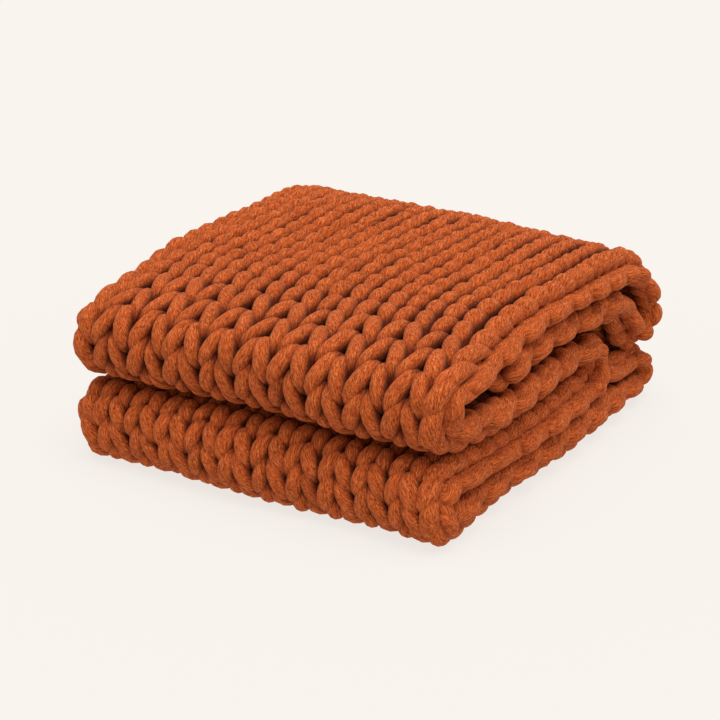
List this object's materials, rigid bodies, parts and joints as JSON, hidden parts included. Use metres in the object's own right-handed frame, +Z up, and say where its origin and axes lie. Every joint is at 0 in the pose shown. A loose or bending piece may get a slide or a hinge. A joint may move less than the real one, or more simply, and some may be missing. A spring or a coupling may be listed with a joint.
{
  "type": "folded chunky knitted blanket",
  "caption": "Chunky stockinette blanket in thick soft yarn, folded to and fro into a plump square stack with rounded folds in front and curls at the back.",
  "frame": {"origin": "centre of the stack's underside, on the surface it lies on", "axes": "+X to the right across the stitch columns, +Y from the rounded front folds to the back, +Z up"},
  "size_m": [0.434, 0.4816, 0.1988],
  "materials": {
    "yarn": "matt thick rust-orange yarn, heathered, slightly fuzzy"
  },
  "bodies": {
    "root": {"blanket": "yarn"}
  },
  "joints": []
}
